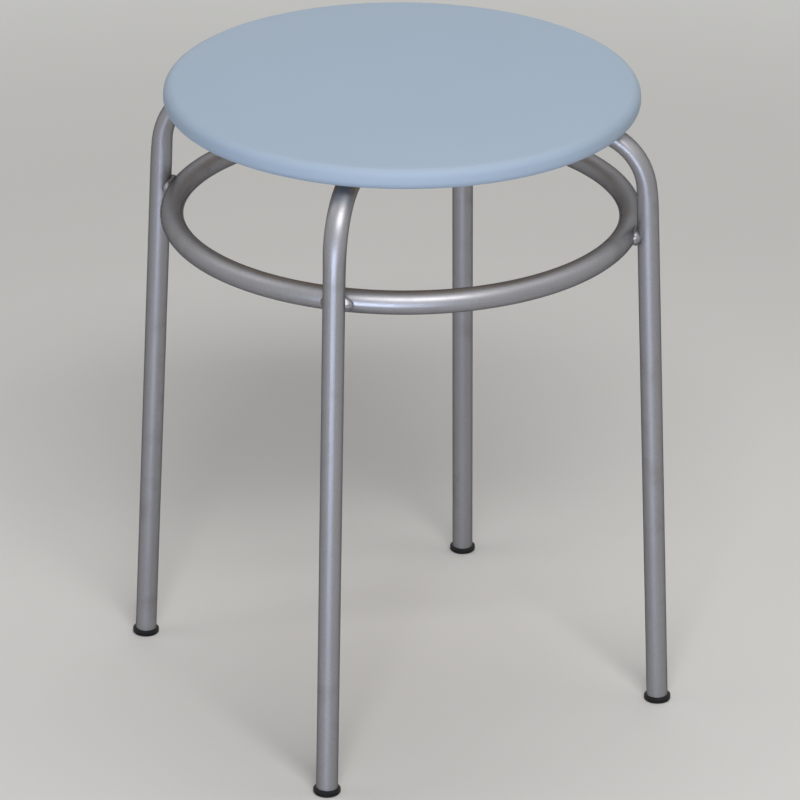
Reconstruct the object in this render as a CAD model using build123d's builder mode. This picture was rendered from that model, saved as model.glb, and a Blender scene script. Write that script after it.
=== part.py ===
from build123d import *
from math import cos, degrees, radians, sin, sqrt, tan
import os

# Round metal stool: a thin padded seat on four splayed tube legs, with a brace ring just under the seat.
# Millimetres, +Z up. The origin is on the floor under the middle of the seat.
# The front leg stands towards -Y, the right leg towards +X.

# Seat
stool_height = 450.0  # floor to the top of the crown
seat_diameter = 325.0
seat_crown = 1.5  # rise of the top from its edge to the middle
seat_upper_round = 7.0
seat_side_flat = 1.5  # upright part of the edge between the two rounds
seat_lower_round = 5.5
cover_thickness = 1.0
board_thickness = 8.0
board_rim_inset = 0.5  # board rim inside the flat of the underside
foam_skirt = 3.0  # how far the foam is drawn down over the board's rim
soft_clearance = 0.3

# Staples along the turned-under hem
staple_count = 32
staple_crown = 9.0
staple_width = 1.2
staple_wire = 0.7
staple_tip_cover = 3.0  # wood left above the points

# Leg tubes
leg_tube_diameter = 15.0
leg_tube_wall = 1.2
leg_lean = 2.75  # degrees, outwards towards the floor
foot_reach = 28.0  # how far the leg axis stands outside the seat's edge at the floor
bend_radius = 42.0  # centre line
hem_over_bend = 1.0  # room between the hem and the tube that falls away under it
cope_gap = 0.2  # fit-up gap where the front and rear tubes meet the side-leg tube

# Brace ring
ring_tube_diameter = 16.0
ring_tube_wall = 1.2
ring_below_bend = 34.0  # ring centre line under the point where the bends begin
ring_gap = 0.2  # fit-up gap between the ring and a leg
ring_seam_azimuth = 60.0  # degrees, at the back, right
ring_seam_gap = 0.4
ring_seam_width = 5.0
ring_seam_rise = 0.8

# Welds
ring_weld_radius = 6.5
centre_weld_radius = 5.0

# Foot plugs
foot_flange_height = 4.2
foot_flange_overhang = 1.9
foot_shoulder = 1.2  # height of the slope on top of the flange
foot_base_bevel = 0.8
foot_below_floor = 1.5  # extra length that the floor cut takes off square to the floor
foot_stem_length = 18.0
foot_stem_bevel = 1.5
foot_stem_clearance = 0.15

# Screws that hold the seat
screw_circle_radius = 95.0
screw_diameter = 4.0
screw_hole_clearance = 0.4
screw_tip_cover = 1.5  # wood left above the points
screw_point = 3.0
screw_head_diameter = 8.0
screw_head_height = 2.6
screw_head_round = 1.4
screw_recess_width = 1.1
screw_recess_length = 4.6
screw_recess_depth = 1.5

# Heights and radii that follow from the sizes above
seat_radius = seat_diameter / 2
seat_top_edge = stool_height - seat_crown
seat_underside = seat_top_edge - seat_upper_round - seat_side_flat - seat_lower_round
top_flat_radius = seat_radius - seat_upper_round
crown_radius = (top_flat_radius**2 + seat_crown**2) / (2 * seat_crown)
underside_flat_radius = seat_radius - seat_lower_round
board_underside = seat_underside + cover_thickness
board_top = board_underside + board_thickness
board_radius = underside_flat_radius - board_rim_inset

leg_radius = leg_tube_diameter / 2
leg_bore_radius = leg_radius - leg_tube_wall
lean = radians(leg_lean)
foot_circle_radius = seat_radius + foot_reach
crossbar_height = board_underside - leg_radius
crossbar_underside = crossbar_height - leg_radius
apex_radius = foot_circle_radius - crossbar_height * tan(lean)
bend_tangent = bend_radius * tan((radians(90) - lean) / 2)
bend_start_height = crossbar_height - bend_tangent * cos(lean)
crossbar_end_radius = apex_radius - bend_tangent
leg_end_radius = foot_circle_radius - foot_flange_height * sin(lean)
leg_end_height = foot_flange_height * cos(lean)

# The hem stops outside the line where the tubes still bear on the board.
bend_outer_radius = bend_radius + leg_radius
hem_drop = cover_thickness + staple_wire + hem_over_bend
hem_inner_radius = crossbar_end_radius + sqrt(bend_outer_radius**2 - (bend_outer_radius - hem_drop) ** 2)
staple_circle_radius = (hem_inner_radius + board_radius) / 2
staple_leg_length = cover_thickness + board_thickness - staple_tip_cover

# The ring lies against the inner sides of the legs.
ring_tube_radius = ring_tube_diameter / 2
ring_height = bend_start_height - ring_below_bend
leg_radius_at_ring = foot_circle_radius - ring_height * tan(lean)
ring_radius = leg_radius_at_ring - (leg_radius + ring_tube_radius + ring_gap) / cos(lean)
ring_to_weld = ring_tube_radius + ring_gap / 2
ring_weld_reach = ring_radius + ring_to_weld * cos(lean)
ring_weld_height = ring_height + ring_to_weld * sin(lean)

screw_radius = screw_diameter / 2
screw_bite = board_thickness - screw_tip_cover
screw_length = leg_tube_diameter + screw_bite

leg_azimuths = {"front": -90, "right": 0, "rear": 90, "left": 180}

os.makedirs("parts", exist_ok=True)


def leg_plane(azimuth):
    """Upright plane through the stool's axis and one leg: x runs outwards, y runs up."""
    turn = radians(azimuth)
    return Plane(origin=(0, 0, 0), x_dir=(cos(turn), sin(turn), 0), z_dir=(sin(turn), -cos(turn), 0))


def leg_axis_plane(azimuth):
    """Plane square to one leg, where its axis meets the floor: z runs up the leg."""
    turn = radians(azimuth)
    foot = (foot_circle_radius * cos(turn), foot_circle_radius * sin(turn), 0)
    up_the_leg = (-sin(lean) * cos(turn), -sin(lean) * sin(turn), cos(lean))
    return Plane(origin=foot, x_dir=(-sin(turn), cos(turn), 0), z_dir=up_the_leg)


def pad_section(inset):
    """Half section of the padded seat, drawn in from its outer skin by the inset."""
    side = seat_radius - inset
    top_edge = seat_top_edge - inset
    underside = seat_underside + inset
    upper_centre = seat_top_edge - seat_upper_round
    lower_centre = seat_underside + seat_lower_round
    with BuildSketch() as section:
        with BuildLine():
            Line((0, underside), (underside_flat_radius, underside))
            CenterArc((underside_flat_radius, lower_centre), seat_lower_round - inset, 270, 90)
            Line((side, lower_centre), (side, upper_centre))
            CenterArc((top_flat_radius, upper_centre), seat_upper_round - inset, 0, 90)
            RadiusArc((top_flat_radius, top_edge), (0, stool_height - inset), -crown_radius)
            Line((0, stool_height - inset), (0, underside))
        make_face()
    return section.sketch


def staple_leg_section():
    """The two legs of every staple, in plan."""
    leg_offset = (staple_crown - staple_wire) / 2
    with BuildSketch() as section:
        with PolarLocations(staple_circle_radius, staple_count, start_angle=180 / staple_count):
            with Locations((0, leg_offset), (0, -leg_offset)):
                Rectangle(staple_width, staple_wire)
    return section.sketch


def tube_section(outer_radius, wall):
    """Round tube in section."""
    with BuildSketch() as section:
        Circle(outer_radius)
        Circle(outer_radius - wall, mode=Mode.SUBTRACT)
    return section.sketch


# Vinyl cover: top, rounded edge and the hem turned under the board, pierced by the staples
with BuildPart() as seat_cover:
    with BuildSketch(Plane.XZ):
        add(pad_section(0))
        add(pad_section(cover_thickness), mode=Mode.SUBTRACT)
        with Locations((0, seat_underside)):
            Rectangle(hem_inner_radius, cover_thickness, align=(Align.MIN, Align.MIN), mode=Mode.SUBTRACT)
    revolve(axis=Axis.Z)
    with BuildSketch(Plane.XY.offset(seat_underside)):
        add(staple_leg_section())
    extrude(amount=cover_thickness, mode=Mode.SUBTRACT)
seat_cover.part.label = "seat_cover"
export_step(seat_cover.part, "parts/seat_cover.step")

# Foam: lies on the board and is drawn down over its rim
with BuildPart() as seat_foam:
    with BuildSketch(Plane.XZ):
        add(pad_section(cover_thickness + soft_clearance))
        with Locations((0, board_top)):
            Rectangle(
                board_radius + soft_clearance, stool_height, align=(Align.MIN, Align.MAX), mode=Mode.SUBTRACT
            )
        with Locations((0, board_top - foam_skirt)):
            Rectangle(seat_diameter, stool_height, align=(Align.MIN, Align.MAX), mode=Mode.SUBTRACT)
    revolve(axis=Axis.Z)
seat_foam.part.label = "seat_foam"
export_step(seat_foam.part, "parts/seat_foam.step")

# Plywood board with blind holes for the screws and the staple legs
with BuildPart() as seat_board:
    with BuildSketch(Plane.XY.offset(board_underside)):
        Circle(board_radius)
    extrude(amount=board_thickness)
    with BuildSketch(Plane.XY.offset(board_underside)):
        with PolarLocations(screw_circle_radius, len(leg_azimuths)):
            Circle(screw_radius)
    extrude(amount=screw_bite, mode=Mode.SUBTRACT)
    with BuildSketch(Plane.XY.offset(seat_underside)):
        add(staple_leg_section())
    extrude(amount=staple_leg_length, mode=Mode.SUBTRACT)
seat_board.part.label = "seat_board"
export_step(seat_board.part, "parts/seat_board.step")

# Staples: a flat crown under the hem and two legs up into the board
with BuildPart() as hem_staples:
    with BuildSketch(Plane.XY.offset(seat_underside - staple_wire)):
        with PolarLocations(staple_circle_radius, staple_count, start_angle=180 / staple_count):
            Rectangle(staple_width, staple_crown)
    extrude(amount=staple_wire)
    with BuildSketch(Plane.XY.offset(seat_underside)):
        add(staple_leg_section())
    extrude(amount=staple_leg_length)
hem_staples.part.label = "hem_staples"
export_step(hem_staples.part, "parts/hem_staples.step")

# Side legs: one tube, up the left leg, across under the seat and down the right leg
with BuildPart() as side_legs:
    with BuildLine(leg_plane(leg_azimuths["right"])) as arch:
        FilletPolyline(
            (-leg_end_radius, leg_end_height),
            (-apex_radius, crossbar_height),
            (apex_radius, crossbar_height),
            (leg_end_radius, leg_end_height),
            radius=bend_radius,
        )
    with BuildSketch(Plane(origin=arch.line @ 0, z_dir=arch.line % 0)):
        add(tube_section(leg_radius, leg_tube_wall))
    sweep(path=arch.line)
    with BuildSketch(Plane.XY.offset(crossbar_underside)):
        with Locations((screw_circle_radius, 0), (-screw_circle_radius, 0)):
            Circle(screw_radius + screw_hole_clearance / 2)
    extrude(amount=leg_tube_diameter, mode=Mode.SUBTRACT)
side_legs.part.label = "side_legs"
export_step(side_legs.part, "parts/side_legs.step")

# Front and rear legs: up the leg, in under the seat, and coped to fit the side-leg tube
for side in ("front", "rear"):
    outwards = leg_plane(leg_azimuths[side]).x_dir
    with BuildPart() as single_leg:
        with BuildLine(leg_plane(leg_azimuths[side])) as leg_run:
            FilletPolyline(
                (leg_end_radius, leg_end_height),
                (apex_radius, crossbar_height),
                (0, crossbar_height),
                radius=bend_radius,
            )
        with BuildSketch(Plane(origin=leg_run.line @ 0, z_dir=leg_run.line % 0)):
            add(tube_section(leg_radius, leg_tube_wall))
        sweep(path=leg_run.line)
        with BuildSketch(Plane.YZ.offset(-leg_tube_diameter)):
            with Locations((0, crossbar_height)):
                Circle(leg_radius + cope_gap)
        extrude(amount=2 * leg_tube_diameter, mode=Mode.SUBTRACT)
        with BuildSketch(Plane.XY.offset(crossbar_underside)):
            with Locations(tuple(outwards * screw_circle_radius)[:2]):
                Circle(screw_radius + screw_hole_clearance / 2)
        extrude(amount=leg_tube_diameter, mode=Mode.SUBTRACT)
    single_leg.part.label = side + "_leg"
    export_step(single_leg.part, "parts/" + side + "_leg.step")

# Welds in the four corners where the tubes meet under the middle of the seat
with BuildPart() as centre_welds:
    with Locations((leg_radius, leg_radius, crossbar_height)):
        Sphere(centre_weld_radius)
    with Locations((0, 0, crossbar_height)):
        Cylinder(leg_radius, seat_diameter, rotation=(90, 0, 0), mode=Mode.SUBTRACT)
        Cylinder(leg_radius, seat_diameter, rotation=(0, 90, 0), mode=Mode.SUBTRACT)
    mirror(about=Plane.XZ)
    mirror(about=Plane.YZ)
centre_welds.part.label = "centre_welds"
export_step(centre_welds.part, "parts/centre_welds.step")

# Brace ring: bent from tube, with its two ends facing each other at the seam
seam_angle = degrees(ring_seam_gap / ring_radius)
with BuildPart() as brace_ring:
    with BuildSketch(leg_plane(ring_seam_azimuth + seam_angle / 2)):
        with Locations((ring_radius, ring_height)):
            add(tube_section(ring_tube_radius, ring_tube_wall))
    revolve(axis=Axis.Z, revolution_arc=360 - seam_angle)
brace_ring.part.label = "brace_ring"
export_step(brace_ring.part, "parts/brace_ring.step")

# Butt weld that closes the ring
seam_weld_angle = degrees(ring_seam_width / ring_radius)
with BuildPart() as ring_seam_weld:
    with BuildSketch(leg_plane(ring_seam_azimuth - seam_weld_angle / 2)):
        with Locations((ring_radius, ring_height)):
            add(tube_section(ring_tube_radius + ring_seam_rise, ring_tube_wall + ring_seam_rise))
    revolve(axis=Axis.Z, revolution_arc=seam_weld_angle)
    add(brace_ring.part, mode=Mode.SUBTRACT)
ring_seam_weld.part.label = "ring_seam_weld"
export_step(ring_seam_weld.part, "parts/ring_seam_weld.step")

# Welds between the ring and the legs
with BuildPart() as ring_welds:
    with Locations((0, 0, ring_weld_height)):
        with PolarLocations(ring_weld_reach, len(leg_azimuths)):
            Sphere(ring_weld_radius)
    with Locations((0, 0, ring_height)):
        Torus(ring_radius, ring_tube_radius, mode=Mode.SUBTRACT)
    with Locations([leg_axis_plane(azimuth) for azimuth in leg_azimuths.values()]):
        Cylinder(leg_radius, stool_height, align=(Align.CENTER, Align.CENTER, Align.MIN), mode=Mode.SUBTRACT)
ring_welds.part.label = "ring_welds"
export_step(ring_welds.part, "parts/ring_welds.step")

# Foot plugs: a stem inside the tube and a flange under its end, cut level with the floor
flange_radius = leg_radius + foot_flange_overhang
stem_radius = leg_bore_radius - foot_stem_clearance
stem_top = foot_flange_height + foot_stem_length
for side, azimuth in leg_azimuths.items():
    axis_plane = leg_axis_plane(azimuth)
    with BuildPart() as foot:
        with BuildSketch(Plane(origin=axis_plane.origin, x_dir=axis_plane.y_dir, z_dir=axis_plane.x_dir)):
            with BuildLine():
                Polyline(
                    (0, -foot_below_floor),
                    (flange_radius - foot_base_bevel, -foot_below_floor),
                    (flange_radius - foot_base_bevel, 0),
                    (flange_radius, foot_base_bevel),
                    (flange_radius, foot_flange_height - foot_shoulder),
                    (leg_radius, foot_flange_height),
                    (stem_radius, foot_flange_height),
                    (stem_radius, stem_top - foot_stem_bevel),
                    (stem_radius - foot_stem_bevel, stem_top),
                    (0, stem_top),
                    close=True,
                )
            make_face()
        revolve(axis=Axis(axis_plane.origin, axis_plane.z_dir))
        split(bisect_by=Plane.XY, keep=Keep.TOP)
    foot.part.label = side + "_foot"
    export_step(foot.part, "parts/" + side + "_foot.step")

# Pan-head wood screws, heads under the tubes
with BuildPart() as seat_screws:
    with Locations((0, 0, crossbar_underside)):
        with PolarLocations(screw_circle_radius, len(leg_azimuths)):
            Cylinder(screw_radius, screw_length - screw_point, align=(Align.CENTER, Align.CENTER, Align.MIN))
            with Locations((0, 0, screw_length - screw_point)):
                Cone(screw_radius, 0, screw_point, align=(Align.CENTER, Align.CENTER, Align.MIN))
            Cylinder(
                screw_head_diameter / 2, screw_head_height, align=(Align.CENTER, Align.CENTER, Align.MAX)
            )
    head_rims = seat_screws.edges().filter_by(GeomType.CIRCLE).group_by(Axis.Z)[0]
    fillet(head_rims, radius=screw_head_round)
    with BuildSketch(Plane.XY.offset(crossbar_underside - screw_head_height)):
        with PolarLocations(screw_circle_radius, len(leg_azimuths)):
            Rectangle(screw_recess_length, screw_recess_width)
            Rectangle(screw_recess_width, screw_recess_length)
    extrude(amount=screw_recess_depth, mode=Mode.SUBTRACT)
seat_screws.part.label = "seat_screws"
export_step(seat_screws.part, "parts/seat_screws.step")
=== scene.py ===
import math

import bpy
from mathutils import Euler, Matrix, Vector, noise


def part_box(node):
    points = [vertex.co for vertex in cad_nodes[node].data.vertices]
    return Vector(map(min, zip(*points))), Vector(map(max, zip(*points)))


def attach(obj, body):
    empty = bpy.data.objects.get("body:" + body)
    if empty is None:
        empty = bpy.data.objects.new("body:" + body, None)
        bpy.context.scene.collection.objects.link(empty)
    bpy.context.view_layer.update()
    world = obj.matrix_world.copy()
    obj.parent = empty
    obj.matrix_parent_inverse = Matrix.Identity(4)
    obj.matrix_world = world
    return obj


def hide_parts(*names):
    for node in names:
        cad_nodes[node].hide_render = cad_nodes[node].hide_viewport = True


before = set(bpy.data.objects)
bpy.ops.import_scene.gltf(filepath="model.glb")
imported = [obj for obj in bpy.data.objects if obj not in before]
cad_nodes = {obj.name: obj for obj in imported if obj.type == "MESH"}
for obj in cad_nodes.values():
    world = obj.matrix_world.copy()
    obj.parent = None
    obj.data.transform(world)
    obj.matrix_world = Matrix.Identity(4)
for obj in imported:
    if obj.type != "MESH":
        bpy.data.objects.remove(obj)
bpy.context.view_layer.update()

# The round stool in metres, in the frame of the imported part:
# +Z up, the front leg towards -Y and the right leg towards +X.
MM = 0.001
merge_distance = 0.001 * MM  # points closer than this are one

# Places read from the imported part
cover_low, cover_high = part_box("seat_cover")
board_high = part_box("seat_board")[1]
ring_low, ring_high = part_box("brace_ring")
leg_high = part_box("front_leg")[1]
seat_radius = cover_high.x
seat_underside = cover_low.z
seat_top = cover_high.z
board_radius = board_high.x
board_top = board_high.z
ring_tube_radius = (ring_high.z - ring_low.z) / 2
ring_height = (ring_high.z + ring_low.z) / 2
ring_radius = ring_high.x - ring_tube_radius
leg_tube_radius = leg_high.x
crossbar_height = leg_high.z - leg_tube_radius

# Sizes of the part that its boxes do not give
seat_crown = 1.5 * MM
upper_round = 7.0 * MM
lower_round = 5.5 * MM
cover_thickness = 1.0 * MM
hem_inner_radius = 146.0 * MM
foam_skirt = 3.0 * MM
soft_clearance = 0.3 * MM
staple_count = 32
staple_crown = 9.0 * MM
staple_width = 1.2 * MM
staple_wire = 0.7 * MM
screw_circle_radius = 95.0 * MM
leg_lean = math.radians(2.75)
bend_radius = 42.0 * MM
crossbar_end = 129.9 * MM  # where a bend meets the level tube, from the middle
fit_up_gap = 0.2 * MM
ring_seam_azimuth = math.radians(60.0)
leg_azimuths = [math.radians(turn) for turn in (-90, 0, 90, 180)]

# Staples and screws as they were driven by hand
staple_edge = 0.26 * MM  # rounding of the wire
staple_cuts = (0.36, 0.40, 0.43, 0.46)  # sections of a crown, from its middle, as shares of its length
staple_bend = staple_cuts[0]  # its ends bend up from here on
staple_end_rise = 1.1 * MM
staple_askew = math.radians(4)
screw_first_turn = 17  # degrees
screw_turn_step = 26

# Bends made on a tube bender: the outer side flattens, the inner side less, and the tube widens
bend_outer_flat = 0.17
bend_inner_flat = 0.05
bend_widening = 0.06
bend_spill = 14.0 * MM  # how far the flattening runs out on each side of a bend's end
spill_cuts = 4  # sections cut into that length

# Weld beads
bead_lumps = 0.16  # unevenness of a bead, as a share of its thickness
lump_waves = 2.3  # how fast that unevenness changes round a bead
ring_weld_half_width = 6.6 * MM  # of the bead's middle line, round the ring
ring_weld_half_height = 5.0 * MM
ring_weld_wire = 2.7 * MM
ring_weld_run = 0.7  # how much further the metal ran along the ring than up the leg
ring_weld_thin = 0.62  # thickness over and under the ring, as a share of that beside the leg
ring_weld_slope = 0.5  # how steeply the bead's far side falls to the ring
ring_weld_ripples = 14
centre_weld_width = 3.3 * MM  # half the width of the bead
centre_weld_rise = 2.2 * MM
centre_weld_sink = 0.2 * MM
centre_weld_ripples = 9
seam_wire = 1.3 * MM
seam_sink = 0.9 * MM  # how far the middle of the seam's bead lies under the skin of the ring
seam_stretch = 2.2  # how much wider than tall the seam's bead is
seam_ripples = 34

# The studio
backdrop_colour = "#DADAD7"
floor_colour = "#ECEAE6"
surround_colour = "#595959"
floor_size = 12.0
fade_start, fade_end = 0.6, 2.2  # the floor turns into the backdrop between these distances
lamp_aim = Vector((0, 0, 0.25))

# The soft skin
skin_segments = 192
hem_rings = 4
cover_rings = (0.95, 0.88, 0.79, 0.69)  # rings of the top, as shares of its flat radius
foam_rings = (0.95, 0.85, 0.7)
foam_base_ring = 0.7
level_tolerance = 0.2 * MM  # points of the hem lie no higher than this over the underside
top_tolerance = 1.0 * MM  # points of the top lie no lower than this under its edge
held_share = 0.4  # the skin is held still below this share of the upper round
dome_share = 0.5  # the swelling ends within this share of the upper round
swell_frames = 20
slack_crown = 0.4 * MM  # crown of the skin before the foam swells it
swell_limit = 2.4 * MM  # furthest that the foam pushes a point
uneven_share = 0.12  # how much of the cloth's unevenness the vinyl keeps
hem_bulge = 0.5 * MM  # how far the hem stands off the board between two staples
hem_trim = 0.7 * MM  # unevenness of the hem's cut edge
trim_waves = 9  # how fast that unevenness changes round the seat
edge_slide = 0.6  # how far the edge is drawn in between two staples, as a share of its unevenness
pleat_count = 56
pleat_height = 1.6 * MM  # tallest fold of the gathered hem
pleat_waves = 6  # how fast the fullness of the folds changes round the seat
pleat_drift = 3  # how far a fold strays from its even place, in radians of its own wave
pleat_pinch = 0.7  # share of a fold that a staple presses flat
foam_crown = 2.6 * MM


# Small helpers

def linear(hex_colour):
    """sRGB hex colour as linear RGBA."""
    levels = [int(hex_colour[i:i + 2], 16) / 255 for i in (1, 3, 5)]
    return tuple(v / 12.92 if v <= 0.04045 else ((v + 0.055) / 1.055) ** 2.4 for v in levels) + (1.0,)


def add_node(tree, kind, inputs=None, **settings):
    """Adds one node, sets its properties and fills or links its inputs."""
    made = tree.nodes.new(kind)
    for name, value in settings.items():
        setattr(made, name, value)
    for socket, value in (inputs or {}).items():
        if isinstance(value, bpy.types.NodeSocket):
            tree.links.new(value, made.inputs[socket])
        else:
            made.inputs[socket].default_value = value
    return made


def new_material(name):
    """Material with nothing but its output node."""
    made = bpy.data.materials.new(name)
    made.use_nodes = True
    made.node_tree.nodes.clear()
    return made, made.node_tree, made.node_tree.nodes.new("ShaderNodeOutputMaterial")


def start_piece(name):
    """Takes the primitive just added as a new piece, with its place in its mesh."""
    piece = bpy.context.object
    piece.name = name
    piece.data.name = name
    bpy.ops.object.transform_apply(location=True, rotation=True, scale=True)
    return piece


def only(piece):
    """Selects one piece and makes it active."""
    bpy.ops.object.select_all(action="DESELECT")
    piece.select_set(True)
    bpy.context.view_layer.objects.active = piece


def copy_solid(node, name):
    """Copies a solid's mesh into a new piece, joins its loose triangles and drops its stored normals."""
    piece = bpy.data.objects.new(name, cad_nodes[node].data.copy())
    bpy.context.scene.collection.objects.link(piece)
    only(piece)
    bpy.ops.object.mode_set(mode="EDIT")
    bpy.ops.mesh.select_all(action="SELECT")
    bpy.ops.mesh.remove_doubles(threshold=merge_distance)
    bpy.ops.mesh.dissolve_degenerate(threshold=merge_distance)
    bpy.ops.object.mode_set(mode="OBJECT")
    bpy.ops.mesh.customdata_custom_splitnormals_clear()
    return piece


def settle(piece, finish, node):
    """Gives a finished piece its material and its place in the part."""
    piece.data.materials.clear()
    piece.data.materials.append(finish)
    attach(piece, "root")
    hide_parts(node)


def arc(centre_radius, centre_height, radius, start, stop, steps):
    """Points of a round edge in half section, without the first one. Angles in degrees from outwards."""
    turns = [math.radians(start + (stop - start) * k / steps) for k in range(1, steps + 1)]
    return [(centre_radius + radius * math.cos(t), centre_height + radius * math.sin(t)) for t in turns]


def draw_rings(name, profile):
    """Skin drawn from a circle: each (radius, height) of the half section is one extrude and scale."""
    bpy.ops.object.select_all(action="DESELECT")
    radius, height = profile[0]
    bpy.ops.mesh.primitive_circle_add(vertices=skin_segments, radius=radius, location=(0, 0, height))
    piece = start_piece(name)
    bpy.ops.object.mode_set(mode="EDIT")
    bpy.ops.mesh.select_all(action="SELECT")
    for next_radius, next_height in profile[1:]:
        rise = (0, 0, next_height - height)
        grow = next_radius / radius
        bpy.ops.mesh.extrude_region_move(TRANSFORM_OT_translate={"value": rise})
        bpy.ops.transform.resize(value=(grow, grow, 1), center_override=(0, 0, next_height))
        radius, height = next_radius, next_height
    return piece


# Materials

def sprayed_aluminium_paint():
    # Aluminium paint sprayed on welded steel tube: tiny flakes in a clear binder. It gives a broad soft
    # highlight along the tube, dark flanks, a faint orange peel, and warm patches: partly scuffing, partly a
    # painted reflection of a brown room.
    made, tree, out = new_material("sprayed_aluminium_paint")
    place = add_node(tree, "ShaderNodeTexCoord").outputs["Object"]
    # flakes are about 0.05 mm and are drawn at 0.6 mm so that they show
    flakes = add_node(tree, "ShaderNodeTexVoronoi", {"Vector": place, "Scale": 1 / (0.6 * MM)})
    tint = add_node(tree, "ShaderNodeMix", {
        "Factor": flakes.outputs["Distance"], "A": linear("#A5A5A9"), "B": linear("#939297"),
    }, data_type="RGBA")
    # handling marks and a painted warm reflection of a brown room, patches about 25 mm across
    marks_and_painted_reflection = add_node(tree, "ShaderNodeTexNoise", {"Vector": place, "Scale": 1 / (25 * MM), "Detail": 4.0})
    worn_and_painted_reflection = add_node(tree, "ShaderNodeMapRange", {
        "Value": marks_and_painted_reflection.outputs["Fac"], "From Min": 0.56, "From Max": 0.72, "To Min": 0.0, "To Max": 0.35,
    })
    # warm grey-brown patches: partly wear, partly a painted reflection of a brown room
    colour = add_node(tree, "ShaderNodeMix", {
        "Factor": worn_and_painted_reflection.outputs["Result"], "A": tint.outputs["Result"], "B": linear("#7E7975"),
    }, data_type="RGBA")
    gloss = add_node(tree, "ShaderNodeMapRange", {
        "Value": marks_and_painted_reflection.outputs["Fac"], "From Min": 0.3, "From Max": 0.7, "To Min": 0.40, "To Max": 0.50,
    })
    # orange peel with waves of about 1.5 mm
    peel = add_node(tree, "ShaderNodeTexNoise", {"Vector": place, "Scale": 1 / (1.5 * MM), "Detail": 2.0})
    bump = add_node(tree, "ShaderNodeBump", {
        "Height": peel.outputs["Fac"], "Strength": 0.06, "Distance": 0.3 * MM,
    })
    shader = add_node(tree, "ShaderNodeBsdfPrincipled", {
        "Base Color": colour.outputs["Result"], "Metallic": 0.9, "Roughness": gloss.outputs["Result"],
        "Specular Tint": linear("#404040"), "Normal": bump.outputs["Normal"],
    })
    tree.links.new(shader.outputs["BSDF"], out.inputs["Surface"])
    return made


def calendered_vinyl():
    # Grey-blue upholstery vinyl, calendered with a very fine grain: an even satin skin with a soft sheen.
    made, tree, out = new_material("calendered_vinyl")
    place = add_node(tree, "ShaderNodeTexCoord").outputs["Object"]
    # slow drift of the dye, about 70 mm
    drift = add_node(tree, "ShaderNodeTexNoise", {"Vector": place, "Scale": 1 / (70 * MM), "Detail": 2.0})
    colour = add_node(tree, "ShaderNodeMix", {
        "Factor": drift.outputs["Fac"], "A": linear("#9CAEC0"), "B": linear("#A4B4C6"),
    }, data_type="RGBA")
    # pebbled grain of about 0.5 mm, drawn at 1 mm so that it shows
    grain = add_node(tree, "ShaderNodeTexVoronoi", {
        "Vector": place, "Scale": 1 / (1.0 * MM), "Smoothness": 0.6,
    }, feature="SMOOTH_F1")
    bump = add_node(tree, "ShaderNodeBump", {
        "Height": grain.outputs["Distance"], "Strength": 0.10, "Distance": 0.25 * MM,
    })
    gloss = add_node(tree, "ShaderNodeMapRange", {
        "Value": drift.outputs["Fac"], "From Min": 0.3, "From Max": 0.7, "To Min": 0.54, "To Max": 0.62,
    })
    shader = add_node(tree, "ShaderNodeBsdfPrincipled", {
        "Base Color": colour.outputs["Result"], "Roughness": gloss.outputs["Result"], "IOR": 1.53,
        "Normal": bump.outputs["Normal"],
    })
    tree.links.new(shader.outputs["BSDF"], out.inputs["Surface"])
    return made


def cut_polyurethane_foam():
    # Polyurethane foam, cut from a block and yellowed: a dull sponge full of open cells.
    made, tree, out = new_material("cut_polyurethane_foam")
    place = add_node(tree, "ShaderNodeTexCoord").outputs["Object"]
    # cells of about 1.2 mm
    cells = add_node(tree, "ShaderNodeTexVoronoi", {"Vector": place, "Scale": 1 / (1.2 * MM)})
    colour = add_node(tree, "ShaderNodeMix", {
        "Factor": cells.outputs["Distance"], "A": linear("#C9B57E"), "B": linear("#E6D9A8"),
    }, data_type="RGBA")
    bump = add_node(tree, "ShaderNodeBump", {
        "Height": cells.outputs["Distance"], "Strength": 0.8, "Distance": 0.6 * MM,
    })
    shader = add_node(tree, "ShaderNodeBsdfPrincipled", {
        "Base Color": colour.outputs["Result"], "Roughness": 0.95, "Normal": bump.outputs["Normal"],
    })
    tree.links.new(shader.outputs["BSDF"], out.inputs["Surface"])
    return made


def rotary_cut_birch_plywood():
    # Birch plywood, rotary cut and sanded: pale wood with long wavy figure, short dark flecks and a dry face.
    made, tree, out = new_material("rotary_cut_birch_plywood")
    place = add_node(tree, "ShaderNodeTexCoord").outputs["Object"]
    along = add_node(tree, "ShaderNodeMapping", {"Vector": place, "Scale": (1.0, 0.12, 1.0)})
    # figure about 9 mm wide
    figure = add_node(tree, "ShaderNodeTexNoise", {
        "Vector": along.outputs["Vector"], "Scale": 1 / (9 * MM), "Detail": 5.0, "Distortion": 0.6,
    })
    wood = add_node(tree, "ShaderNodeMix", {
        "Factor": figure.outputs["Fac"], "A": linear("#B98F5E"), "B": linear("#E2C79B"),
    }, data_type="RGBA")
    # pores about 0.8 mm wide
    pores = add_node(tree, "ShaderNodeTexNoise", {
        "Vector": along.outputs["Vector"], "Scale": 1 / (0.8 * MM), "Detail": 2.0,
    })
    fleck = add_node(tree, "ShaderNodeMapRange", {
        "Value": pores.outputs["Fac"], "From Min": 0.62, "From Max": 0.75, "To Min": 0.0, "To Max": 0.6,
    })
    colour = add_node(tree, "ShaderNodeMix", {
        "Factor": fleck.outputs["Result"], "A": wood.outputs["Result"], "B": linear("#8A6238"),
    }, data_type="RGBA")
    bump = add_node(tree, "ShaderNodeBump", {
        "Height": pores.outputs["Fac"], "Strength": 0.25, "Distance": 0.2 * MM,
    })
    shader = add_node(tree, "ShaderNodeBsdfPrincipled", {
        "Base Color": colour.outputs["Result"], "Roughness": 0.75, "IOR": 1.45,
        "Normal": bump.outputs["Normal"],
    })
    tree.links.new(shader.outputs["BSDF"], out.inputs["Surface"])
    return made


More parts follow.
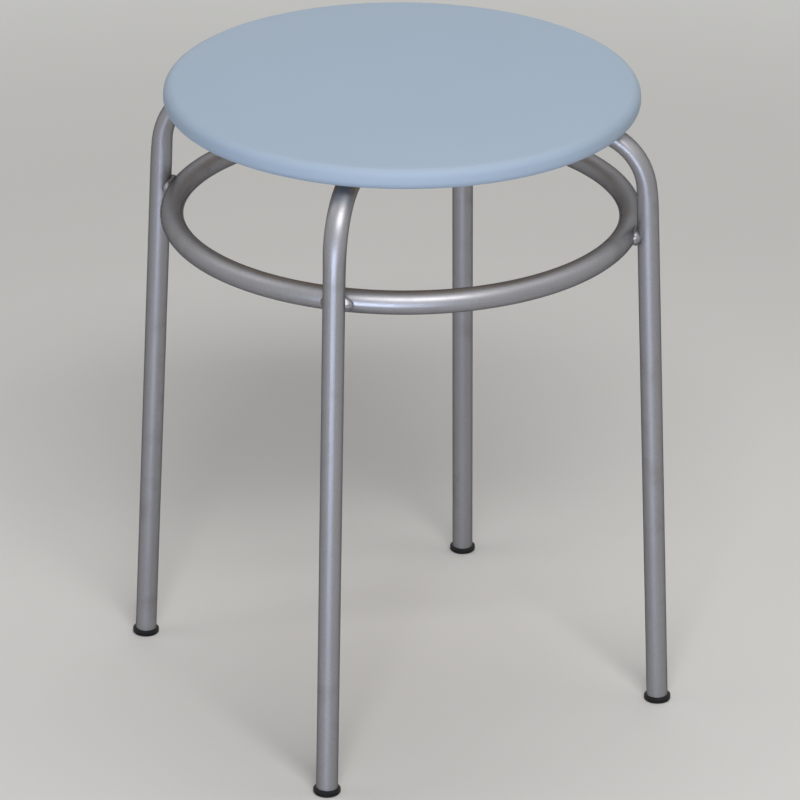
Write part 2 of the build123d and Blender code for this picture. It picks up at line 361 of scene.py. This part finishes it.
def zinc_plated_steel():
    # Steel wire and screws, bright zinc plated: cool grey metal with cloudy patches.
    made, tree, out = new_material("zinc_plated_steel")
    place = add_node(tree, "ShaderNodeTexCoord").outputs["Object"]
    # clouds of about 1.5 mm
    cloud = add_node(tree, "ShaderNodeTexNoise", {"Vector": place, "Scale": 1 / (1.5 * MM), "Detail": 3.0})
    colour = add_node(tree, "ShaderNodeMix", {
        "Factor": cloud.outputs["Fac"], "A": linear("#A9ABAA"), "B": linear("#D2D4D2"),
    }, data_type="RGBA")
    gloss = add_node(tree, "ShaderNodeMapRange", {
        "Value": cloud.outputs["Fac"], "From Min": 0.3, "From Max": 0.7, "To Min": 0.28, "To Max": 0.45,
    })
    shader = add_node(tree, "ShaderNodeBsdfPrincipled", {
        "Base Color": colour.outputs["Result"], "Metallic": 1.0, "Roughness": gloss.outputs["Result"],
    })
    tree.links.new(shader.outputs["BSDF"], out.inputs["Surface"])
    return made


def moulded_polyethylene():
    # Black polyethylene, injection moulded in a matt tool: near black, waxy, with a fine spark texture.
    made, tree, out = new_material("moulded_polyethylene")
    place = add_node(tree, "ShaderNodeTexCoord").outputs["Object"]
    # spark texture of about 0.1 mm, drawn at 0.4 mm so that it shows
    grit = add_node(tree, "ShaderNodeTexNoise", {"Vector": place, "Scale": 1 / (0.4 * MM), "Detail": 2.0})
    # dust caught low on the foot, patches of about 6 mm
    dust = add_node(tree, "ShaderNodeTexNoise", {"Vector": place, "Scale": 1 / (6 * MM), "Detail": 3.0})
    colour = add_node(tree, "ShaderNodeMix", {
        "Factor": dust.outputs["Fac"], "A": linear("#070708"), "B": linear("#101013"),
    }, data_type="RGBA")
    bump = add_node(tree, "ShaderNodeBump", {
        "Height": grit.outputs["Fac"], "Strength": 0.2, "Distance": 0.1 * MM,
    })
    gloss = add_node(tree, "ShaderNodeMapRange", {
        "Value": dust.outputs["Fac"], "From Min": 0.3, "From Max": 0.7, "To Min": 0.45, "To Max": 0.60,
    })
    shader = add_node(tree, "ShaderNodeBsdfPrincipled", {
        "Base Color": colour.outputs["Result"], "Roughness": gloss.outputs["Result"], "IOR": 1.51,
        "Specular IOR Level": 0.25, "Normal": bump.outputs["Normal"],
    })
    tree.links.new(shader.outputs["BSDF"], out.inputs["Surface"])
    return made


# Seat

def crown_height(radius, edge_radius, edge_height, crown):
    """Height of a domed top at a distance from its middle."""
    return edge_height + crown * (1 - (radius / edge_radius) ** 2)


def pucker_hem(skin):
    """The hem lies flat under each staple, stands off a little between them, and is cut by hand."""
    flat_end = seat_radius - lower_round
    for vertex in skin.data.vertices:
        radius = math.hypot(vertex.co.x, vertex.co.y)
        if vertex.co.z > seat_underside + level_tolerance or radius > flat_end:
            continue
        turn = math.atan2(vertex.co.y, vertex.co.x)
        between = 0.5 + 0.5 * math.cos(turn * staple_count)
        inward = (flat_end - radius) / (flat_end - hem_inner_radius)
        # the hem stands off most in the middle of its width
        vertex.co.z -= hem_bulge * between * math.sin(math.pi * min(1.0, inward * 0.8 + 0.1))
        uneven = noise.noise(Vector((math.cos(turn), math.sin(turn), 0)) * trim_waves)
        # the spare vinyl of a round seat gathers in small folds, deepest at the cut edge
        fullness = 0.5 + 0.5 * noise.noise(Vector((math.cos(turn), math.sin(turn), 2)) * pleat_waves)
        fold = max(0.0, math.cos(turn * pleat_count + pleat_drift * uneven)) ** 2
        free = 1 - pleat_pinch + pleat_pinch * between
        vertex.co.z -= pleat_height * fold * fullness * free * max(0.0, inward) ** 0.7
        grow = 1 + hem_trim * inward * (uneven - edge_slide * between) / radius
        vertex.co.x *= grow
        vertex.co.y *= grow


def dome_terms(point, reach):
    """Three smooth domes that are zero from the given radius outwards, and below the top."""
    share = max(0.0, 1 - (point.x ** 2 + point.y ** 2) / reach ** 2)
    if point.z < seat_top - seat_crown - dome_share * upper_round:
        share = 0.0
    return Vector((share, share ** 2, share ** 3))


def swell(skin):
    """Presses the top outwards with a cloth simulation, as the foam does; the edge is stretched tight."""
    held = skin.vertex_groups.new(name="stretched_over_the_edge")
    tight = seat_top - seat_crown - held_share * upper_round
    held.add([v.index for v in skin.data.vertices if v.co.z < tight], 1.0, "REPLACE")
    rest = [(vertex.co.copy(), vertex.normal.copy()) for vertex in skin.data.vertices]
    cloth = skin.modifiers.new("Cloth", "CLOTH")
    cloth.settings.quality = 6
    cloth.settings.mass = 0.3
    cloth.settings.tension_stiffness = 40
    cloth.settings.compression_stiffness = 40
    cloth.settings.shear_stiffness = 20
    cloth.settings.bending_stiffness = 10
    cloth.settings.vertex_group_mass = held.name
    cloth.settings.use_pressure = True
    cloth.settings.uniform_pressure_force = 0.5
    cloth.settings.effector_weights.gravity = 0
    cloth.collision_settings.use_collision = False
    scene = bpy.context.scene
    for step in range(1, swell_frames + 1):
        scene.frame_set(step)
    only(skin)
    bpy.ops.object.modifier_apply(modifier=cloth.name)
    scene.frame_set(1)
    skin.vertex_groups.clear()
    # The vinyl is stiffer than the cloth, so the push is evened out: a smooth dome that falls to nothing
    # at the edge is fitted to it, and only part of the cloth's own unevenness stays.
    pushes = [max(0.0, (v.co - was).dot(out)) for v, (was, out) in zip(skin.data.vertices, rest)]
    reach = seat_radius - dome_share * upper_round
    waves = [dome_terms(was, reach) for was, out in rest]
    sums = Matrix([[sum(w[i] * w[j] for w in waves) for j in range(3)] for i in range(3)])
    totals = Vector([sum(w[i] * push for w, push in zip(waves, pushes)) for i in range(3)])
    levels = sums.inverted() @ totals
    for vertex, (was, out), wave, push in zip(skin.data.vertices, rest, waves, pushes):
        even = max(0.0, levels.dot(wave))
        # the unevenness fades out towards the edge
        kept = even + uneven_share * (push - even) * min(1.0, wave[0] * 4)
        vertex.co = was + out * swell_limit * math.tanh(max(0.0, kept) / swell_limit)


def build_seat_cover(finish):
    """Vinyl skin: hem, lower round, side, upper round and crowned top, swollen by the foam."""
    top_edge = seat_top - seat_crown
    flat_end = seat_radius - lower_round
    top_flat = seat_radius - upper_round
    crown = slack_crown
    hem_width = flat_end - hem_inner_radius
    profile = [(hem_inner_radius + hem_width * k / hem_rings, seat_underside) for k in range(hem_rings + 1)]
    profile += arc(flat_end, seat_underside + lower_round, lower_round, -90, 0, 5)
    profile += arc(top_flat, top_edge - upper_round, upper_round, 0, 90, 6)
    profile += [
        (top_flat * k, crown_height(top_flat * k, top_flat, top_edge, crown)) for k in cover_rings
    ]
    skin = draw_rings("seat_cover_skin", profile)
    bpy.ops.mesh.fill_grid(span=skin_segments // 4)
    bpy.ops.mesh.select_all(action="SELECT")
    bpy.ops.mesh.normals_make_consistent(inside=False)
    bpy.ops.object.mode_set(mode="OBJECT")
    for vertex in skin.data.vertices:
        radius = math.hypot(vertex.co.x, vertex.co.y)
        if radius < top_flat * cover_rings[-1] and vertex.co.z > top_edge - top_tolerance:
            vertex.co.z = crown_height(radius, top_flat, top_edge, crown)
    swell(skin)
    only(skin)
    smooth = skin.modifiers.new("Subdivision", "SUBSURF")
    smooth.levels = 1
    smooth.render_levels = 1
    bpy.ops.object.modifier_apply(modifier=smooth.name)
    pucker_hem(skin)
    wall = skin.modifiers.new("Solidify", "SOLIDIFY")
    wall.thickness = cover_thickness
    wall.offset = -1.0
    bpy.ops.object.modifier_apply(modifier=wall.name)
    bpy.ops.object.shade_smooth_by_angle(angle=math.radians(50))
    settle(skin, finish, "seat_cover")


def build_seat_foam(finish):
    """Foam pad: lies on the board, drawn down over its rim, with the crown that the cover takes."""
    inset = cover_thickness + soft_clearance
    side = seat_radius - inset
    rounding = upper_round - inset
    top_edge = seat_top - seat_crown - inset
    top_flat = side - rounding
    inner = board_radius + soft_clearance
    skirt = board_top - foam_skirt
    profile = [(inner * foam_base_ring, board_top), (inner, board_top), (inner, skirt), (side, skirt)]
    profile += arc(top_flat, top_edge - rounding, rounding, 0, 90, 6)
    profile += [
        (top_flat * k, crown_height(top_flat * k, top_flat, top_edge, foam_crown)) for k in foam_rings
    ]
    foam = draw_rings("seat_foam_pad", profile)
    bpy.ops.mesh.fill_grid(span=skin_segments // 4)
    bpy.ops.mesh.select_all(action="DESELECT")
    bpy.ops.object.mode_set(mode="OBJECT")
    for vertex in foam.data.vertices[:skin_segments]:
        vertex.select = True
    bpy.ops.object.mode_set(mode="EDIT")
    bpy.ops.mesh.fill_grid(span=skin_segments // 4)
    bpy.ops.mesh.select_all(action="SELECT")
    bpy.ops.mesh.normals_make_consistent(inside=False)
    bpy.ops.object.mode_set(mode="OBJECT")
    for vertex in foam.data.vertices:
        radius = math.hypot(vertex.co.x, vertex.co.y)
        if radius < top_flat * foam_rings[-1] and vertex.co.z > top_edge - top_tolerance:
            vertex.co.z = crown_height(radius, top_flat, top_edge, foam_crown)
    bpy.ops.object.shade_smooth_by_angle(angle=math.radians(40))
    settle(foam, finish, "seat_foam")


def build_hem_staples(finish):
    """Wire staples along the hem: a flattened crown whose ends bend up through the vinyl into the board."""
    circle = (hem_inner_radius + board_radius) / 2
    bpy.ops.object.select_all(action="DESELECT")
    bpy.ops.mesh.primitive_cube_add(
        size=1.0, location=(circle, 0, seat_underside - staple_wire / 2),
        scale=(staple_width, staple_crown, staple_wire),
    )
    row = start_piece("hem_staple_row")
    bpy.ops.object.mode_set(mode="EDIT")
    bpy.ops.mesh.select_all(action="SELECT")
    bpy.ops.mesh.bevel(offset=staple_edge, segments=2, affect="EDGES")
    for share in [-cut for cut in reversed(staple_cuts)] + list(staple_cuts):
        bpy.ops.mesh.select_all(action="SELECT")
        bpy.ops.mesh.bisect(plane_co=(circle, share * staple_crown, 0), plane_no=(0, 1, 0))
    bpy.ops.object.mode_set(mode="OBJECT")
    for vertex in row.data.vertices:
        past = max(0.0, abs(vertex.co.y) / staple_crown - staple_bend) / (0.5 - staple_bend)
        vertex.co.z += staple_end_rise * past ** 2
    bpy.ops.object.shade_smooth_by_angle(angle=math.radians(50))
    copies = [row]
    for number in range(1, staple_count):
        staple = bpy.data.objects.new("hem_staple_%d" % number, row.data.copy())
        bpy.context.scene.collection.objects.link(staple)
        copies.append(staple)
    for number, staple in enumerate(copies):
        # each gun shot sits a little askew
        askew = staple_askew * noise.noise(Vector((number * 1.7, 0.3, 0.8)))
        centre = Matrix.Translation((circle, 0, 0))
        turn = Matrix.Rotation(2 * math.pi * (number + 0.5) / staple_count, 4, "Z")
        staple.data.transform(turn @ centre @ Matrix.Rotation(askew, 4, "Z") @ centre.inverted())
    only(row)
    for staple in copies:
        staple.select_set(True)
    bpy.ops.object.join()
    settle(row, finish, "hem_staples")


def build_seat_screws(finish):
    """The four screws as they were driven: the solid's own mesh, each head left at its own angle."""
    screws = copy_solid("seat_screws", "seat_screw_set")
    centres = [Vector((math.cos(turn), math.sin(turn))) * screw_circle_radius for turn in leg_azimuths]
    for vertex in screws.data.vertices:
        number = min(range(len(centres)), key=lambda k: (vertex.co.xy - centres[k]).length)
        turn = math.radians(screw_first_turn + screw_turn_step * number)
        vertex.co.xy = centres[number] + Matrix.Rotation(turn, 2) @ (vertex.co.xy - centres[number])
    bpy.ops.object.shade_smooth_by_angle(angle=math.radians(30))
    settle(screws, finish, "seat_screws")


# Legs

def ease(value):
    """Eases from nothing to one."""
    value = min(1.0, max(0.0, value))
    return value * value * (3 - 2 * value)


def ovalise(across, height, side):
    """Moves one point of a tube in or beside its bend.

    The point is given as its distance from the middle, its height and its sideways offset.
    """
    run = across - crossbar_end
    rise = height - (crossbar_height - bend_radius)
    turn = math.atan2(rise, run)
    if turn < leg_lean:
        out_run, out_rise = math.cos(leg_lean), math.sin(leg_lean)
        inside = rise * math.cos(leg_lean) - run * math.sin(leg_lean)
    elif turn > math.pi / 2:
        out_run, out_rise = 0.0, 1.0
        inside = run
    else:
        out_run, out_rise = math.cos(turn), math.sin(turn)
        inside = bend_radius * min(turn - leg_lean, math.pi / 2 - turn)
    pressed = ease((inside + bend_spill) / (2 * bend_spill))
    offset = run * out_run + rise * out_rise - bend_radius
    pull = -offset * pressed * (bend_outer_flat if offset > 0 else bend_inner_flat)
    return across + out_run * pull, height + out_rise * pull, side * (1 + bend_widening * pressed)


def cut_sections(hand, along_x):
    """Cuts rings into the two straight runs beside a bend, where its flattening runs out."""
    for step in range(1, spill_cuts + 1):
        past = bend_spill * step / spill_cuts
        leg_across = crossbar_end + bend_radius * math.cos(leg_lean) + past * math.sin(leg_lean)
        leg_height = crossbar_height - bend_radius * (1 - math.sin(leg_lean)) - past * math.cos(leg_lean)
        cuts = [
            ((hand * leg_across, leg_height), (hand * math.sin(leg_lean), -math.cos(leg_lean))),
            ((hand * (crossbar_end - past), crossbar_height), (1.0, 0.0)),
        ]
        for (across, height), (lean, drop) in cuts:
            place = (across, 0, height) if along_x else (0, across, height)
            facing = (lean, 0, drop) if along_x else (0, lean, drop)
            bpy.ops.mesh.select_all(action="SELECT")
            bpy.ops.mesh.bisect(plane_co=place, plane_no=facing)


def build_leg(node, finish, along_x, hands):
    """A bent tube: the solid's own mesh, its bends pressed slightly oval as a tube bender leaves them."""
    leg = copy_solid(node, node + "_tube")
    bpy.ops.object.mode_set(mode="EDIT")
    for hand in hands:
        cut_sections(hand, along_x)
    bpy.ops.object.mode_set(mode="OBJECT")
    for vertex in leg.data.vertices:
        across, side = (vertex.co.x, vertex.co.y) if along_x else (vertex.co.y, vertex.co.x)
        hand = 1 if across > 0 else -1
        across, height, side = ovalise(abs(across), vertex.co.z, side)
        vertex.co = (hand * across, side, height) if along_x else (side, hand * across, height)
    bpy.ops.object.shade_smooth_by_angle(angle=math.radians(35))
    settle(leg, finish, node)


# Welds

def weld_bead(name, bead_radius, wire_radius, ripples, ripple_depth, seed):
    """One closed bead lying flat round the origin, rippled where each drop of metal set on the last."""
    bpy.ops.object.select_all(action="DESELECT")
    bpy.ops.mesh.primitive_torus_add(
        major_radius=bead_radius, minor_radius=wire_radius, major_segments=8 * ripples, minor_segments=14
    )
    bead = start_piece(name)
    for vertex in bead.data.vertices:
        turn = math.atan2(vertex.co.y, vertex.co.x)
        spine = Vector((math.cos(turn), math.sin(turn), 0)) * bead_radius
        out = vertex.co - spine
        lumps = noise.noise(Vector((math.cos(turn), math.sin(turn), seed)) * lump_waves)
        ridge = abs(math.sin(turn * ripples / 2))
        vertex.co = spine + out * (1 - 0.8 * ripple_depth + ripple_depth * ridge + bead_lumps * lumps)
    return bead


def build_ring_welds(finish):
    """A bead round each touch of ring and leg: it fills the corners and runs out along the ring."""
    to_touch = ring_tube_radius + fit_up_gap / 2
    touch_radius = ring_radius + to_touch * math.cos(leg_lean)
    touch_height = ring_height + to_touch * math.sin(leg_lean)
    lay_in_groove = Matrix.Rotation(math.pi / 2, 3, "Z") @ Matrix.Rotation(math.pi / 2, 3, "X")
    for number, azimuth in enumerate(leg_azimuths):
        bead = weld_bead(
            "ring_weld_%d" % number, ring_weld_half_width, ring_weld_wire, ring_weld_ripples,
            ripple_depth=0.07, seed=3.0 + number,
        )
        for vertex in bead.data.vertices:
            # x runs round the ring and y up the leg; the bead lies in the groove between the two tubes
            turn = math.atan2(vertex.co.y, vertex.co.x)
            around = Vector((math.cos(turn), math.sin(turn), 0)) * ring_weld_half_width
            x, y = around.x, ring_weld_half_height * math.sin(turn)
            beside = math.cos(turn) ** 2
            leg_side = leg_tube_radius - math.sqrt(leg_tube_radius ** 2 - x * x)
            ring_side = ring_tube_radius - math.sqrt(ring_tube_radius ** 2 - y * y)
            # the bead is thickest beside the leg and thinner over and under the ring
            section = (vertex.co - around) * (ring_weld_thin + (1 - ring_weld_thin) * beside)
            section.x *= 1 + ring_weld_run * beside
            # the far side of the bead lies down on the ring
            section.z -= ring_weld_slope * beside * max(0.0, section.x * math.copysign(1, x))
            vertex.co = Vector((x, y, (leg_side - ring_side) / 2)) + section
        turn_to_leg = Matrix.Rotation(azimuth, 3, "Z") @ Matrix.Rotation(-leg_lean, 3, "Y")
        bead.rotation_euler = (turn_to_leg @ lay_in_groove).to_euler()
        bead.location = (touch_radius * math.cos(azimuth), touch_radius * math.sin(azimuth), touch_height)
        only(bead)
        bpy.ops.object.transform_apply(location=True, rotation=True, scale=True)
        bpy.ops.object.shade_smooth()
        settle(bead, finish, "ring_welds")


def build_centre_welds(finish):
    """Four beads in the corners where the front and rear tubes, cut to fit, meet the side-leg tube."""
    first, last = math.radians(38), math.radians(158)  # the bead's ends, from the top of the side-leg tube
    for number, (hand_x, hand_y) in enumerate(((1, 1), (-1, 1), (-1, -1), (1, -1))):
        bpy.ops.object.select_all(action="DESELECT")
        bpy.ops.mesh.primitive_uv_sphere_add(segments=16, ring_count=72, radius=1.0)
        bead = start_piece("centre_weld_%d" % number)
        for vertex in bead.data.vertices:
            # the ball's poles are the bead's ends, and its spine follows the line where the two tubes cross
            share = math.acos(max(-1.0, min(1.0, vertex.co.z))) / math.pi
            around = math.atan2(vertex.co.y, vertex.co.x)
            turn = first + (last - first) * share
            bow, drop = math.sin(turn), math.cos(turn)
            spine = Vector((hand_x * bow, hand_y * bow, drop)) * leg_tube_radius
            along = Vector((hand_x * drop, hand_y * drop, -bow)).normalized()
            out = Vector((hand_x * bow, hand_y * bow, 2 * drop)).normalized()
            lumps = noise.noise(Vector((number * 5.0, share * 6, 1.5)))
            ridge = abs(math.sin(share * centre_weld_ripples * math.pi))
            # a bead of even thickness with blunt ends
            full = math.sin(math.pi * share) ** 0.35 * (0.90 + 0.10 * ridge + 0.18 * lumps)
            rise = centre_weld_rise * math.cos(around) * full - centre_weld_sink
            vertex.co = spine + out * rise + along.cross(out) * (centre_weld_width * math.sin(around) * full)
            vertex.co.z += crossbar_height
        only(bead)
        bpy.ops.object.mode_set(mode="EDIT")
        bpy.ops.mesh.select_all(action="SELECT")
        bpy.ops.mesh.remove_doubles(threshold=merge_distance)
        bpy.ops.mesh.normals_make_consistent(inside=False)
        bpy.ops.object.mode_set(mode="OBJECT")
        bpy.ops.object.shade_smooth()
        settle(bead, finish, "centre_welds")


def build_ring_seam(finish):
    """The butt weld that closes the ring, dressed down to a low band."""
    bead = weld_bead(
        "ring_seam_bead", ring_tube_radius - seam_sink, seam_wire, seam_ripples, ripple_depth=0.18, seed=8.0
    )
    for vertex in bead.data.vertices:
        vertex.co.z *= seam_stretch
    middle = Vector((math.cos(ring_seam_azimuth), math.sin(ring_seam_azimuth), 0)) * ring_radius
    bead.rotation_euler = (
        Matrix.Rotation(ring_seam_azimuth, 3, "Z") @ Matrix.Rotation(math.pi / 2, 3, "X")
    ).to_euler()
    bead.location = (middle.x, middle.y, ring_height)
    only(bead)
    bpy.ops.object.transform_apply(location=True, rotation=True, scale=True)
    bpy.ops.object.shade_smooth()
    settle(bead, finish, "ring_seam_weld")


# Floor, light and camera

def softbox(name, azimuth, elevation, distance, width, height, power, beam=180.0, tint="#FFFFFF"):
    """Area lamp aimed at the middle of the stool. A grid on its front narrows its beam, in degrees."""
    turn, rise = math.radians(azimuth), math.radians(elevation)
    away = Vector((math.sin(turn) * math.cos(rise), -math.cos(turn) * math.cos(rise), math.sin(rise)))
    bpy.ops.object.light_add(type="AREA", location=lamp_aim + away * distance)
    lamp = bpy.context.object
    lamp.name = name
    lamp.data.shape = "RECTANGLE"
    lamp.data.size = width
    lamp.data.size_y = height
    lamp.data.energy = power
    lamp.data.color = linear(tint)[:3]
    lamp.data.spread = math.radians(beam)
    lamp.rotation_euler = (-away).to_track_quat("-Z", "Y").to_euler()


def seen_directly(tree):
    """One for rays from the camera, or mirrored or passed on to it, and nothing for the rest."""
    ray = add_node(tree, "ShaderNodeLightPath").outputs
    total = add_node(tree, "ShaderNodeMath", {0: ray["Is Camera Ray"], 1: ray["Is Glossy Ray"]})
    total = add_node(tree, "ShaderNodeMath", {0: total.outputs["Value"], 1: ray["Is Transmission Ray"]})
    return total.outputs["Value"]


def set_studio():
    """Pale floor, softboxes overhead, in front and at both sides, and a dim surround."""
    bpy.ops.object.select_all(action="DESELECT")
    bpy.ops.mesh.primitive_plane_add(size=floor_size)
    floor = bpy.context.object
    floor.name = "floor"
    made, tree, out = new_material("studio_floor")
    # the floor fades with distance into an even backdrop, which the camera and the metal both see
    place = add_node(tree, "ShaderNodeTexCoord").outputs["Object"]
    reach = add_node(tree, "ShaderNodeVectorMath", {0: place}, operation="LENGTH")
    fade = add_node(tree, "ShaderNodeMapRange", {
        "Value": reach.outputs["Value"], "From Min": fade_start, "From Max": fade_end,
    }, interpolation_type="SMOOTHSTEP")
    share = add_node(tree, "ShaderNodeMath", {
        0: fade.outputs["Result"], 1: seen_directly(tree),
    }, operation="MULTIPLY")
    near = add_node(tree, "ShaderNodeBsdfDiffuse", {"Color": linear(floor_colour)})
    far = add_node(tree, "ShaderNodeEmission", {"Color": linear(backdrop_colour)})
    surface = add_node(tree, "ShaderNodeMixShader", {
        0: share.outputs["Value"], 1: near.outputs["BSDF"], 2: far.outputs["Emission"],
    })
    tree.links.new(surface.outputs["Shader"], out.inputs["Surface"])
    floor.data.materials.append(made)

    world = bpy.data.worlds.new("studio")
    bpy.context.scene.world = world
    world.use_nodes = True
    tree = world.node_tree
    tint = add_node(tree, "ShaderNodeMix", {
        "Factor": seen_directly(tree), "A": linear(surround_colour), "B": linear(backdrop_colour),
    }, data_type="RGBA")
    tree.links.new(tint.outputs["Result"], tree.nodes["Background"].inputs["Color"])

    softbox(
        "overhead_softbox", azimuth=180.0, elevation=76.0, distance=1.75, width=1.2, height=1.2, power=9.3,
    )
    softbox("key_softbox", azimuth=24.0, elevation=50.0, distance=2.6, width=1.4, height=0.5, power=34.0)
    softbox(
        "low_front_softbox", azimuth=5.0, elevation=-1.0, distance=2.2, width=1.2, height=0.4, power=3.1,
        beam=70.0, tint="#D5E3FF",
    )
    softbox("left_fill", azimuth=-75.0, elevation=45.0, distance=2.4, width=1.2, height=1.0, power=4.0)
    softbox("right_fill", azimuth=102.0, elevation=45.0, distance=2.4, width=1.2, height=1.0, power=3.0)


def set_camera():
    """The camera that fits the photograph: its place, its tilt and its lens."""
    azimuth, pitch, roll = math.radians(14.62), math.radians(25.01), math.radians(0.40)
    away, height, lens = 2.894, 1.560, 204.96
    bpy.ops.object.camera_add(location=(away * math.sin(azimuth), -away * math.cos(azimuth), height))
    camera = bpy.context.object
    aim = Euler((math.pi / 2 - pitch, 0, azimuth)).to_matrix() @ Matrix.Rotation(roll, 3, "Z")
    camera.rotation_euler = aim.to_euler()
    camera.data.sensor_width = 36.0
    camera.data.lens = lens
    bpy.context.scene.camera = camera
    bpy.context.scene.view_settings.view_transform = "Standard"


paint = sprayed_aluminium_paint()
plastic = moulded_polyethylene()
zinc = zinc_plated_steel()
cad_finishes = {
    "brace_ring": paint,
    "front_foot": plastic, "right_foot": plastic, "rear_foot": plastic, "left_foot": plastic,
    "seat_board": rotary_cut_birch_plywood(),
}
for name, finish in cad_finishes.items():
    cad_nodes[name].data.materials.clear()
    cad_nodes[name].data.materials.append(finish)

build_seat_cover(calendered_vinyl())
build_seat_foam(cut_polyurethane_foam())
build_leg("side_legs", paint, True, (1, -1))
build_leg("front_leg", paint, False, (-1,))
build_leg("rear_leg", paint, False, (1,))
build_ring_welds(paint)
build_centre_welds(paint)
build_ring_seam(paint)
build_hem_staples(zinc)
build_seat_screws(zinc)
set_studio()
set_camera()
